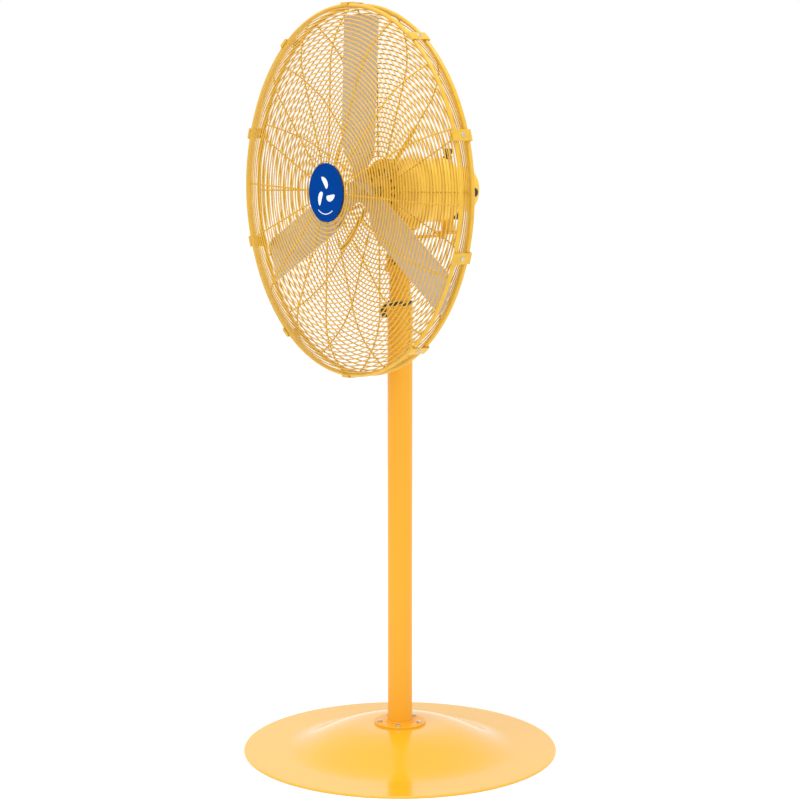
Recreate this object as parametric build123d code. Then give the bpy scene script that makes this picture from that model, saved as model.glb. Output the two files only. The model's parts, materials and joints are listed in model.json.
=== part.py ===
from build123d import *
import math
import os

os.makedirs("parts", exist_ok=True)

# A 30 inch oscillating pedestal fan. Millimetres, +Z up. The origin is on the floor under the
# column. The fan blows towards -Y, so "s" below is a distance forward of the column's axis.

# --- driving dimensions -------------------------------------------------------------------------
BASE_R = 355.6                 # spun steel foot, 28 inch
BASE_T = 3.0
BASE_FLAT_R = 266.0            # inner edge of the flat rim
BASE_TOP_R = 62.0              # flat top that carries the column flange
BASE_TOP_Z = 60.0
FLANGE_R = 58.5
FLANGE_T = 5.0
FOOT_BOLT_COUNT = 5
FOOT_BOLT_R = 47.5             # bolt circle radius
FOOT_BOLT_TURN = -42.0         # angle of the first bolt from +X
COLUMN_R = 28.0
COLUMN_IN_R = 25.2
COLUMN_TOP = 1016.0
MAST_R = 23.8
MAST_IN_R = 20.8
MAST_BOTTOM = 560.0
MAST_TOP = 1100.0
RUN = 0.05                     # radial clearance of a running fit
AXIS_Z = 1268.0                # height of the fan's axis
TILT_Z = 1127.0                # height of the tilt bolt
GUARD_R = 401.0                # outside of the guard's rims
FRONT_FACE_S = 195.0           # flat face of the front guard
BACK_FACE_S = 56.0             # flat face of the rear guard
FRONT_RIM_S = 143.0
REAR_RIM_S = 113.0
RIM_WIRE_R = 4.5
RING_WIRE_R = 1.3
SPOKE_WIRE_R = 1.6
SPOKES = 16
FRONT_PITCH = 9.5              # spacing of the front guard's rings
REAR_PITCH = 10.5              # spacing of the rear guard's rings
BADGE_R = 63.0
MOTOR_R = 71.0
MOTOR_FRONT_S = 51.0
MOTOR_REAR_S = -108.0
GEAR_FRONT_S = -126.0
GEAR_REAR_S = -189.0
GEAR_R = 52.0
SHAFT_R = 7.94                 # 5/8 inch motor shaft
HUB_S = 115.0                  # middle of the blade spider
BLADE_COUNT = 3
BLADE_TIP_R = 378.0
BLADE_ROOT_R = 74.0
BLADE_CHORD = 106.0
BLADE_PITCH = 9.0
BLADE_CAMBER = 6.0
BLADE_T = 2.0
BLADE_TURN = 87.0              # angle of the first blade from +X, seen from the front
DRIVE_X = -22.0                # vertical shaft of the oscillation drive
DRIVE_S = -150.0
CRANK_R = 24.0
CRANK_DISC_R = 32.0
LUG_R = 38.0                   # link rod's fixed pivot, from the swivel axis
LINK_Z = 1162.0


# --- helpers ------------------------------------------------------------------------------------
def save(node, *solids):
    """Write one node's solids to its own STEP file."""
    shape = solids[0] if len(solids) == 1 else Compound(children=list(solids))
    shape.label = node
    export_step(shape, f"parts/{node}.step")


def disc(r, z0, z1, x=0.0, y=0.0):
    """Upright cylinder from z0 to z1."""
    return Pos(x, y, (z0 + z1) / 2) * Cylinder(r, z1 - z0)


def tube(r, r_in, z0, z1, x=0.0, y=0.0):
    return disc(r, z0, z1, x, y) - disc(r_in, z0 - 1, z1 + 1, x, y)


def along_y(r, s0, s1, x=0.0, z=AXIS_Z):
    """Cylinder along the fan's axis between two distances forward."""
    return Pos(x, -(s0 + s1) / 2, z) * Rot(90, 0, 0) * Cylinder(r, abs(s1 - s0))


def along_x(r, x0, x1, y=0.0, z=0.0):
    return Pos((x0 + x1) / 2, y, z) * Rot(0, 90, 0) * Cylinder(r, abs(x1 - x0))


def pipe_y(r, r_in, s0, s1):
    return along_y(r, s0, s1) - along_y(r_in, s0 - 1, s1 + 1)


def spun_z(points):
    """Solid of revolution about +Z from (radius, height) points."""
    wire = Polyline(*[(r, 0, z) for r, z in points], close=True)
    return revolve(make_face(wire), Axis.Z, 360)


def spun_y(points):
    """Solid of revolution about the fan's axis from (radius, s) points."""
    wire = Polyline(*[(r, -s, AXIS_Z) for r, s in points], close=True)
    return revolve(make_face(wire), Axis((0, 0, AXIS_Z), (0, 1, 0)), 360)


def box(x0, x1, y0, y1, z0, z1):
    return Pos((x0 + x1) / 2, (y0 + y1) / 2, (z0 + z1) / 2) * Box(x1 - x0, y1 - y0, z1 - z0)


def turned(shape, angle):
    """Shape turned about the fan's axis; positive is anticlockwise seen from the front."""
    return Pos(0, 0, AXIS_Z) * Rot(0, -angle, 0) * Pos(0, 0, -AXIS_Z) * shape


def around(count, first=0.0):
    return [first + 360.0 * i / count for i in range(count)]


def cut_all(shape, tools):
    for tool in tools:
        shape = shape - tool
    return shape


def on_circle(radius, angle):
    return radius * math.cos(math.radians(angle)), radius * math.sin(math.radians(angle))


def pan_screw(head_r, head_h, shank_r, length):
    """Screw standing on z = 0 with its head above and its shank below."""
    head = Pos(0, 0, head_h / 2) * Cylinder(head_r, head_h)
    head = fillet(head.edges().group_by(Axis.Z)[-1], head_h * 0.6)
    slot = Pos(0, 0, head_h) * Box(head_r * 1.3, head_r * 0.28, head_h * 0.8)
    cross = Rot(0, 0, 90) * slot
    shank = Pos(0, 0, -length / 2) * Cylinder(shank_r, length)
    return head + shank - slot - cross


def hex_bolt(across, head_h, shank_r, length):
    head = extrude(RegularPolygon(across / 2, 6, major_radius=False), head_h)
    shank = Pos(0, 0, -length / 2) * Cylinder(shank_r, length)
    return head + shank


def hex_nut(across, height, bore_r):
    return extrude(RegularPolygon(across / 2, 6, major_radius=False) - Circle(bore_r), height)


# --- stand: foot, flange, column ----------------------------------------------------------------
def foot_profile(offset):
    """Upper line of the foot from the flat top down to the rim, lowered by offset."""
    points = []
    steps = 14
    for i in range(steps + 1):
        t = i / steps
        r = BASE_TOP_R + (BASE_FLAT_R - BASE_TOP_R) * t
        fall = 0.5 - 0.5 * math.cos(math.pi * t ** 1.25)
        points.append((r, BASE_TOP_Z - (BASE_TOP_Z - 5.0) * fall - offset))
    return points


def make_stand():
    top_line = foot_profile(0.0)
    under_line = foot_profile(BASE_T)
    dish = spun_z([(16, BASE_TOP_Z)] + top_line + [(BASE_R - 2, 5.0), (BASE_R, 3.5), (BASE_R, 0.0),
                  (BASE_R - 3.0, 0.0), (BASE_R - 3.0, 2.0)] + under_line[::-1]
                  + [(16, BASE_TOP_Z - BASE_T)])
    flange_top = BASE_TOP_Z + FLANGE_T
    flange = disc(FLANGE_R, BASE_TOP_Z, flange_top)
    flange = fillet(flange.edges().group_by(Axis.Z)[-1], 1.5)
    weld = spun_z([(COLUMN_R, flange_top), (COLUMN_R + 4, flange_top), (COLUMN_R, flange_top + 4)])
    flange = flange + weld + tube(COLUMN_R + 4, COLUMN_R, flange_top - 1, flange_top)
    flange = flange - disc(COLUMN_R, BASE_TOP_Z + 2, flange_top + 10) - disc(14, 0, 100)
    bolts, nuts = [], []
    for angle in around(FOOT_BOLT_COUNT, FOOT_BOLT_TURN):
        x, y = on_circle(FOOT_BOLT_R, angle)
        dish = dish - disc(3.4, 40, 80, x, y)
        flange = flange - disc(3.4, 40, 80, x, y)
        bolts.append(Pos(x, y, flange_top) * hex_bolt(10, 4.2, 3.0, 20))
        nuts.append(Pos(x, y, BASE_TOP_Z - BASE_T - 5) * hex_nut(10, 5, 3.02))
    column = tube(COLUMN_R, COLUMN_IN_R, BASE_TOP_Z + 2, COLUMN_TOP)
    boss = along_x(11, -COLUMN_R - 11, -COLUMN_R + 1.0, 0, COLUMN_TOP - 17)
    column = column + (boss - disc(COLUMN_IN_R + 1, 900, 1100))
    column = column - along_x(4.05, -60, 0, 0, COLUMN_TOP - 17)
    bush = tube(COLUMN_IN_R, MAST_R + RUN, COLUMN_TOP - 45, COLUMN_TOP)
    bush = bush + tube(COLUMN_R, MAST_R + RUN, COLUMN_TOP, COLUMN_TOP + 9)
    bush = bush - along_x(5.0, -40, 0, 0, COLUMN_TOP - 17)
    save("foot_plate", dish)
    save("column_flange", flange)
    save("column_tube", column)
    save("column_bush", bush)
    save("foot_bolts", *bolts)
    save("foot_nuts", *nuts)


def make_height_knob():
    z = COLUMN_TOP - 17
    tip = -MAST_R - 0.3
    stud = along_x(4.0, -COLUMN_R - 24, tip, 0, z)
    head = along_x(16, -COLUMN_R - 30, -COLUMN_R - 14, 0, z)
    head = fillet(head.edges().filter_by(GeomType.CIRCLE), 3.0)
    flutes = [along_x(4.5, -COLUMN_R - 40, -COLUMN_R, 18.5 * math.cos(math.radians(a)),
              z + 18.5 * math.sin(math.radians(a))) for a in around(8)]
    head = cut_all(head, flutes) - along_x(4.0, -COLUMN_R - 24, tip, 0, z)
    save("height_knob", head)
    save("height_knob_stud", stud)


# --- mast: inner tube and clevis head -----------------------------------------------------------
EAR_IN = 13.0
EAR_OUT = 25.0
EAR_R = 19.0
MAST_HEAD_LOW = 1089.0
MAST_HEAD_TOP = 1107.0
TILT_BOLT_R = 6.0


def make_mast():
    pipe = tube(MAST_R, MAST_IN_R, MAST_BOTTOM, MAST_TOP)
    guide = tube(COLUMN_IN_R - RUN, 15, MAST_BOTTOM - 12, MAST_BOTTOM)
    guide = guide + tube(MAST_IN_R, 15, MAST_BOTTOM, MAST_BOTTOM + 20)
    cap = disc(34.5, MAST_HEAD_LOW, MAST_HEAD_TOP)
    cap = fillet(cap.edges().group_by(Axis.Z)[0], 4) - disc(MAST_R, MAST_HEAD_LOW - 1, MAST_TOP)
    ear = box(-EAR_OUT, -EAR_IN, -EAR_R, EAR_R, MAST_HEAD_TOP - 2, TILT_Z)
    ear = ear + along_x(EAR_R, -EAR_OUT, -EAR_IN, 0, TILT_Z)
    cap = cap + ear + mirror(ear, Plane.YZ) - along_x(TILT_BOLT_R + RUN, -40, 40, 0, TILT_Z)
    screws = []
    for side in (-1, 1):
        middle = side * (MAST_R + 5.2)
        cap = cap - Pos(0, side * 30, 1096) * Rot(90, 0, 0) * Cylinder(3, 20)
        screw = Pos(0, middle, 1096) * Rot(90, 0, 0) * Cylinder(3, 10.2)
        screws.append(screw - Pos(0, side * (MAST_R + 10), 1096) * Rot(90, 0, 0) * Cylinder(1.5, 4))
    bolt_end = EAR_OUT + 16
    bolt = hex_bolt(18, 7.5, TILT_BOLT_R, EAR_OUT + bolt_end)
    bolt = Pos(-EAR_OUT, 0, TILT_Z) * Rot(0, -90, 0) * bolt
    save("mast_tube", pipe)
    save("mast_guide", guide)
    save("mast_head", cap)
    save("mast_head_screws", *screws)
    save("tilt_bolt", bolt)


def make_tilt_knob():
    x0 = EAR_OUT + 0.3
    hub = along_x(11, x0, x0 + 9, 0, TILT_Z)
    grip = along_x(19, x0 + 9, x0 + 24, 0, TILT_Z)
    grip = fillet(grip.edges().filter_by(GeomType.CIRCLE), 3.0)
    flutes = [along_x(5.5, x0, x0 + 40, y, TILT_Z + dz)
              for y, dz in (on_circle(22, angle) for angle in around(7))]
    bore = along_x(TILT_BOLT_R + RUN, 0, EAR_OUT + 17, 0, TILT_Z)
    save("tilt_knob", cut_all(grip, flutes) + hub - bore)


# --- neck: tilting casting with the swivel pin ---------------------------------------------------
TURRET_R = 33.0
TURRET_LOW = 1147.0
TURRET_TOP = 1157.5
PEDESTAL_R = 19.0
NECK_TOP = 1166.0
SWIVEL_PIN_R = 9.0
SWIVEL_PIN_TOP = 1194.0
LUG_PIN_R = 4.0


def make_neck():
    half = EAR_IN - 0.5
    tongue = box(-half, half, -17, 17, TILT_Z, TURRET_LOW + 2) + along_x(17, -half, half, 0, TILT_Z)
    turret = disc(TURRET_R, TURRET_LOW, TURRET_TOP)
    turret = fillet(turret.edges().group_by(Axis.Z)[-1], 3)
    pedestal = disc(PEDESTAL_R, TURRET_TOP - 1, NECK_TOP)
    lug = box(-LUG_R, 0, -9, 9, TURRET_LOW, TURRET_TOP) + disc(9, TURRET_LOW, TURRET_TOP, -LUG_R)
    lug_pin = disc(LUG_PIN_R, TURRET_LOW + 1, LINK_Z + 4.0, -LUG_R)
    casting = tongue + turret + pedestal + lug + lug_pin
    casting = casting - disc(SWIVEL_PIN_R, TURRET_LOW, NECK_TOP + 5)
    casting = casting - along_x(TILT_BOLT_R + RUN, -40, 40, 0, TILT_Z)
    pin = disc(SWIVEL_PIN_R, TURRET_LOW, SWIVEL_PIN_TOP)
    pin = chamfer(pin.edges().group_by(Axis.Z)[-1], 1.0)
    washer = tube(PEDESTAL_R, SWIVEL_PIN_R + RUN, NECK_TOP, NECK_TOP + 2.0)
    save("neck_casting", casting)
    save("swivel_pin", pin)
    save("thrust_washer", washer)


# --- motor case ----------------------------------------------------------------------------------
SHELL_T = 2.5
BELL_T = 4.0
BEARING_R = 17.5
ROD_CIRCLE_R = 61.5
ROD_R = 2.0


def make_motor_case(stud_holes):
    inner = MOTOR_R - SHELL_T
    f = MOTOR_FRONT_S
    b = MOTOR_REAR_S
    shell = pipe_y(MOTOR_R, inner, b, f - 16)
    front = spun_y([(12, f + 4), (20, f + 4), (24, f), (MOTOR_R - 6, f), (MOTOR_R - 2, f - 1.5),
                    (MOTOR_R, f - 5), (MOTOR_R, f - 16), (inner, f - 16), (inner, f - 22),
                    (inner - 4, f - 22), (inner - 4, f - 7), (inner - 7, f - BELL_T), (24, f - BELL_T),
                    (24, f - 16), (BEARING_R, f - 16), (BEARING_R, f - 2), (12, f - 2)])
    inner_slots = [turned(box(34, 50, -f - 2, -f + BELL_T + 2, AXIS_Z - 3.5, AXIS_Z + 3.5), angle)
                   for angle in around(16, 11.25)]
    front = cut_all(front, inner_slots)
    side_slots = [turned(box(60, 80, -f + 6, -f + 13, AXIS_Z - 5, AXIS_Z + 5), angle)
                  for angle in around(12, 15)]
    front = cut_all(front, side_slots + stud_holes)
    rear = spun_y([(MOTOR_R, b), (MOTOR_R, b - 8), (MOTOR_R - 2, b - 14), (MOTOR_R - 8, b - 18),
                   (12, b - 18), (12, b - 13), (BEARING_R, b - 13), (BEARING_R, b + 1), (23, b + 1),
                   (23, b - 13), (MOTOR_R - 9, b - 13), (MOTOR_R - 5, b - 8), (inner - 4, b),
                   (inner - 4, b + 6), (inner, b + 6), (inner, b)])
    rods = []
    for angle in around(4):
        x, dz = on_circle(ROD_CIRCLE_R, angle)
        front = front - along_y(ROD_R, 0, f - BELL_T, x, AXIS_Z + dz)
        rear = rear - along_y(ROD_R, b - 14, 0, x, AXIS_Z + dz)
        rods.append(along_y(ROD_R, b - 14, f - BELL_T, x, AXIS_Z + dz))
    save("motor_shell", shell)
    save("front_end_bell", front)
    save("rear_end_bell", rear)
    save("motor_tie_rods", *rods)


def make_bearings():
    """Two ball bearings: the outer races and balls stay with the case, the inner ones turn."""
    outers, inners, balls = [], [], []
    for s0 in (MOTOR_FRONT_S - 13.5, MOTOR_REAR_S - 12.5):
        outers.append(pipe_y(BEARING_R, 14.5, s0, s0 + 11))
        inners.append(pipe_y(11.0, SHAFT_R, s0, s0 + 11))
        for x, dz in (on_circle(12.75, angle) for angle in around(10)):
            balls.append(Pos(x, -s0 - 5.5, AXIS_Z + dz) * Sphere(1.7))
    save("bearing_outer_races", *outers)
    save("bearing_inner_races", *inners)
    save("bearing_balls", *balls)


STATOR_BORE = 34.0
STACK_S = (-72.0, 4.0)


def make_motor_works():
    s0, s1 = STACK_S
    outer = MOTOR_R - SHELL_T
    core = pipe_y(outer, STATOR_BORE, s0, s1)
    for x, dz in (on_circle(ROD_CIRCLE_R, angle) for angle in around(4)):
        core = core - along_y(ROD_R + 0.4, s0 - 1, s1 + 1, x, AXIS_Z + dz)
    coils = [pipe_y(outer - 16, STATOR_BORE + 2, s1, s1 + 15),
             pipe_y(outer - 16, STATOR_BORE + 2, s0 - 15, s0)]
    save("stator_core", core)
    save("stator_windings", *coils)


SADDLE_LOW = NECK_TOP + 2.3


def make_saddle():
    """Cradle bolted under the shell; it turns on the swivel pin."""
    block = disc(31, SADDLE_LOW, 1190) + box(-38, 38, -27, 27, 1186, 1222)
    block = block - along_y(MOTOR_R, -60, 60)
    block = block - disc(SWIVEL_PIN_R + RUN, 1100, SWIVEL_PIN_TOP + 0.8)
    screws = []
    for x in (-31, 31):
        for y in (-18, 18):
            screw = Pos(x, y, 1186) * Rot(180, 0, 0) * hex_bolt(8, 3.5, 2.5, 14)
            block = block - disc(2.5, 1180, 1200, x, y)
            screws.append(screw)
    save("motor_saddle", block)
    save("saddle_screws", *screws)


# --- gearbox and oscillation drive ----------------------------------------------------------------
COVER_S = -172.0
GLAND_X, GLAND_Y, GLAND_Z = 22.0, 142.0, 1216.0
SWITCH_Y, SWITCH_Z = 158.0, AXIS_Z - 5
GEAR_WALL = 4.0
GEAR_SHAFT_R = 4.0
CRANK_Z = (1168.0, 1174.0)
KNOB_LOW = AXIS_Z + 66
WORM_R = 7.5
WHEEL_R = abs(DRIVE_X) - WORM_R - 0.4
WHEEL_TEETH = 30


def make_gearbox():
    front = GEAR_FRONT_S
    housing = along_y(GEAR_R, COVER_S, front)
    low_boss = disc(15, 1176, AXIS_Z - 35, DRIVE_X, -DRIVE_S)
    top_boss = disc(13, AXIS_Z + 35, AXIS_Z + 60, DRIVE_X, -DRIVE_S)
    gland_boss = disc(11, GLAND_Z, AXIS_Z - 35, GLAND_X, GLAND_Y)
    side_boss = along_x(13, 35, GEAR_R + 3, SWITCH_Y, SWITCH_Z)
    housing = housing + low_boss + top_boss + gland_boss + side_boss
    housing = housing - along_y(GEAR_R - GEAR_WALL, COVER_S - 1, front - GEAR_WALL)
    housing = housing - along_y(12, -140, -100)
    housing = housing - disc(GEAR_SHAFT_R + RUN, 1100, 1400, DRIVE_X, -DRIVE_S)
    housing = housing - disc(6.5, 1200, AXIS_Z, GLAND_X, GLAND_Y)
    housing = housing - along_x(3.0 + RUN, 30, 80, SWITCH_Y, SWITCH_Z)
    back = GEAR_REAR_S
    cover = spun_y([(GEAR_R, COVER_S), (GEAR_R, back + 11), (GEAR_R - 1.5, back + 6),
                    (GEAR_R - 5, back + 2.2), (GEAR_R - 11, back), (0, back), (0, back + GEAR_WALL),
                    (GEAR_R - 12, back + GEAR_WALL), (GEAR_R - GEAR_WALL, back + 11),
                    (GEAR_R - GEAR_WALL, COVER_S)])
    screws = []
    for angle in around(4, 45):
        x, dz = on_circle(36, angle)
        cover = cover - along_y(2.0, back - 5, back + 10, x, AXIS_Z + dz)
        screws.append(Pos(x, -back, AXIS_Z + dz) * Rot(-90, 0, 0) * pan_screw(4.2, 2.6, 2.0, 8))
    gland = disc(6.5, GLAND_Z - 14, GLAND_Z + 15, GLAND_X, GLAND_Y)
    gland = gland + disc(9.5, GLAND_Z - 8, GLAND_Z, GLAND_X, GLAND_Y)
    gland = gland - disc(3.6, 1190, 1240, GLAND_X, GLAND_Y)
    capacitor = along_y(13, COVER_S - 2, COVER_S + 36, 24, AXIS_Z + 22)
    switch = box(26, 42, SWITCH_Y - 11, SWITCH_Y + 11, SWITCH_Z - 11, SWITCH_Z + 5)
    save("gearbox_housing", housing)
    save("gearbox_cover", cover)
    save("gearbox_screws", *screws)
    save("cable_gland", gland)
    save("run_capacitor", capacitor)
    save("speed_switch", switch)


def make_drive():
    y = -DRIVE_S
    shaft = disc(GEAR_SHAFT_R, CRANK_Z[0], AXIS_Z + 26, DRIVE_X, y)
    crank = disc(CRANK_DISC_R, *CRANK_Z, DRIVE_X, y)
    crank = fillet(crank.edges().group_by(Axis.Z)[-1], 1.5)
    crank = crank + disc(6, CRANK_Z[0] - 2.2, CRANK_Z[0], DRIVE_X - CRANK_R, y)
    crank = crank - disc(GEAR_SHAFT_R, CRANK_Z[0] - 5, CRANK_Z[1] + 5, DRIVE_X, y)
    wheel = disc(WHEEL_R, AXIS_Z - 6, AXIS_Z + 6, DRIVE_X, y)
    wheel = wheel - disc(GEAR_SHAFT_R + RUN, AXIS_Z - 10, AXIS_Z + 10, DRIVE_X, y)
    notches = []
    for angle in around(WHEEL_TEETH):
        dx, dy = on_circle(WHEEL_R, angle)
        notches.append(disc(0.8, AXIS_Z - 8, AXIS_Z + 8, DRIVE_X + dx, y + dy))
    wheel = cut_all(wheel, notches)
    start = Vector(-LUG_R, 0, LINK_Z)
    end = Vector(DRIVE_X - CRANK_R, y, LINK_Z)
    along = (end - start).normalized()
    across = Vector(-along.Y, along.X, 0) * 5.5
    first, last = start + along * 2, end - along * 2
    outline = Polyline(first + across, last + across, last - across, first - across, close=True)
    bar = extrude(make_face(outline), 3.0, both=True)
    rod = bar + disc(8.5, LINK_Z - 3, LINK_Z + 3, start.X, 0) + disc(8.5, LINK_Z - 3, LINK_Z + 3, end.X, y)
    rod = rod - disc(LUG_PIN_R + RUN, 1100, 1200, start.X, 0) - disc(3, 1100, 1200, end.X, y)
    bolt = Pos(end.X, y, LINK_Z - 3) * Rot(180, 0, 0) * hex_bolt(10, 4, 3.0, 6)
    save("crank_shaft", shaft)
    save("crank_disc", crank)
    save("worm_wheel", wheel)
    save("link_rod", rod)
    save("link_bolt", bolt)


def make_control_knobs():
    y = -DRIVE_S
    stem = disc(GEAR_SHAFT_R, AXIS_Z + 30, KNOB_LOW + 14, DRIVE_X, y)
    head = disc(10.5, KNOB_LOW, KNOB_LOW + 25, DRIVE_X, y)
    head = fillet(head.edges().filter_by(GeomType.CIRCLE), 2.5)
    waist = tube(14, 8.0, KNOB_LOW + 8, KNOB_LOW + 13, DRIVE_X, y)
    head = head - waist - disc(GEAR_SHAFT_R, KNOB_LOW - 5, KNOB_LOW + 14, DRIVE_X, y)
    save("clutch_knob", head)
    save("clutch_stem", stem)
    x0 = GEAR_R + 3.5
    dial = along_x(10, x0, x0 + 11, SWITCH_Y, SWITCH_Z)
    dial = fillet(dial.edges().filter_by(GeomType.CIRCLE), 1.2)
    grip = box(x0 + 8, x0 + 15, SWITCH_Y - 2, SWITCH_Y + 2, SWITCH_Z - 9, SWITCH_Z + 9)
    spindle = along_x(3.0, 42.3, x0 + 0.2, SWITCH_Y, SWITCH_Z)
    save("speed_knob", dial + grip + spindle)


# --- guards ---------------------------------------------------------------------------------------
SHOULDER_RINGS = 6
WELD_SINK = 0.7                # how far crossing wires melt into each other
SEAM_TURN = 8.75               # degrees from the first spoke to the hoops' seams


def guard_ring(radius, s, wire_r, sides=8):
    """A wire hoop with a many-sided section; its seam is turned away from the spokes."""
    corner = wire_r / math.cos(math.pi / sides)
    section = [on_circle(corner, angle) for angle in around(sides, 180 / sides)]
    hoop = spun_y([(radius + across, s + along) for across, along in section])
    return turned(hoop, SEAM_TURN)


def guard_point(radius, s, angle):
    x, dz = on_circle(radius, angle)
    return Vector(x, -s, AXIS_Z + dz)


def make_guard(face_s, rim_s, first_r, pitch, phase):
    """Concentric rings welded to radial spokes, flat in the middle and rounded to a thick rim."""
    rim_r = GUARD_R - RIM_WIRE_R
    depth = abs(face_s - rim_s)
    side = 1 if face_s > rim_s else -1
    shoulder = rim_r - depth
    rings = []
    for i in range(int((shoulder - first_r) / pitch) + 1):
        rings.append(guard_ring(first_r + i * pitch, face_s, RING_WIRE_R))
    for i in range(1, SHOULDER_RINGS):
        t = math.radians(90 * i / SHOULDER_RINGS)
        rings.append(guard_ring(shoulder + depth * math.sin(t), rim_s + side * depth * math.cos(t),
                                RING_WIRE_R))
    rings.append(guard_ring(rim_r, rim_s, RIM_WIRE_R, 16))
    inset = depth - (RING_WIRE_R + SPOKE_WIRE_R - WELD_SINK)
    spokes = []
    for angle in around(SPOKES, phase):
        def at(radius, ahead):
            return guard_point(radius, rim_s + side * ahead, angle)
        half = math.sqrt(0.5) * inset
        straight = Line(at(first_r - 2, inset), at(shoulder, inset))
        bend = ThreePointArc(at(shoulder, inset), at(shoulder + half, half), at(shoulder + inset, 0))
        start = Plane(origin=straight @ 0, x_dir=(0, 1, 0), z_dir=straight % 0)
        section = start * Rot(0, 0, 22.5) * RegularPolygon(SPOKE_WIRE_R, 8, major_radius=False)
        spokes.append(sweep(section, path=Wire([straight, bend])))
    return rings[0].fuse(*rings[1:], *spokes)


def make_guards():
    front = make_guard(FRONT_FACE_S, FRONT_RIM_S, 57.5, FRONT_PITCH, -2.2)
    rear = make_guard(BACK_FACE_S, REAR_RIM_S, 76.5, REAR_PITCH, 1.0)
    save("front_guard", front)
    save("rear_guard", rear)


CLIPS = 10
CLIP_T = 2.0


def make_clips():
    """Channels that hook over both rims, each with a screw through its back."""
    outer = GUARD_R + 0.3
    y0 = -(FRONT_RIM_S + RIM_WIRE_R + 0.5)
    y1 = -(REAR_RIM_S - RIM_WIRE_R - 0.5)
    middle = (y0 + y1) / 2
    clips, screws = [], []
    for angle in around(CLIPS, 90):
        back = box(outer, outer + CLIP_T, y0 - CLIP_T, y1 + CLIP_T, AXIS_Z - 12, AXIS_Z + 12)
        hook = box(outer - 5, outer, y0 - CLIP_T, y0, AXIS_Z - 12, AXIS_Z + 12)
        tail = box(outer - 5, outer, y1, y1 + CLIP_T, AXIS_Z - 12, AXIS_Z + 12)
        clip = back + hook + tail - along_x(2.5, outer - 5, outer + 5, middle, AXIS_Z)
        screw = Pos(outer + CLIP_T, middle, AXIS_Z) * Rot(0, 90, 0) * pan_screw(4.6, 2.2, 2.5, 14)
        clips.append(turned(clip, angle))
        screws.append(turned(screw, angle))
    save("rim_clips", *clips)
    save("rim_clip_screws", *screws)


STRUT_S = BACK_FACE_S + RING_WIRE_R + 2 * SPOKE_WIRE_R - WELD_SINK + 0.1
STRUT_T = 4.0
STUD_CIRCLE_R = 58.0


def make_struts():
    """Four flat arms that carry the guards on the motor's front bell."""
    y_back, y_front = -STRUT_S, -STRUT_S - STRUT_T
    arms, bolts = [], []
    bell = []
    for angle in around(4, 45):
        arm = box(STUD_CIRCLE_R - 7, 191, y_front, y_back, AXIS_Z - 4, AXIS_Z + 4)
        arm = arm + along_y(6, MOTOR_FRONT_S, STRUT_S + 1, STUD_CIRCLE_R)
        arm = arm - along_y(2.5, 0, 90, STUD_CIRCLE_R)
        bolt = Pos(STUD_CIRCLE_R, y_front, AXIS_Z) * Rot(90, 0, 0) * hex_bolt(
            8, 3.5, 2.5, STRUT_S + STRUT_T - MOTOR_FRONT_S + BELL_T)
        arms.append(turned(arm, angle))
        bolts.append(turned(bolt, angle))
        bell.append(turned(along_y(2.5, 40, 90, STUD_CIRCLE_R), angle))
    save("guard_struts", *arms)
    save("strut_bolts", *bolts)
    return bell


def make_badge():
    """Plate in front of the guard's middle, with three posts clenched on a keeper behind it."""
    back = FRONT_FACE_S + RING_WIRE_R + 0.1
    plate = along_y(BADGE_R, back, back + 4)
    plate = fillet(plate.edges().group_by(Axis.Y)[0], 1.5)
    inside = FRONT_FACE_S - RING_WIRE_R - 2 * SPOKE_WIRE_R
    keeper = along_y(60, inside - 1.6, inside)
    for x, dz in (on_circle(30, angle) for angle in around(3, 90)):
        plate = plate + along_y(2.5, inside - 2.6, back + 1, x, AXIS_Z + dz)
        keeper = keeper - along_y(2.5, 150, inside + 1, x, AXIS_Z + dz)
    save("badge", plate)
    save("badge_keeper", keeper)


# --- rotor ----------------------------------------------------------------------------------------
TAIL_R = 5.0
ARM_T = 3.0
ARM_TIP_R = 112.0
RIVETS = ((98.0, 37.0), (98.0, -37.0), (84.0, 0.0))


def blade_frame(shape, angle):
    """Put a shape made about the origin, with +X along the blade, onto the hub."""
    return Pos(0, -HUB_S, AXIS_Z) * Rot(0, -angle, 0) * Rot(BLADE_PITCH, 0, 0) * shape


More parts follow.
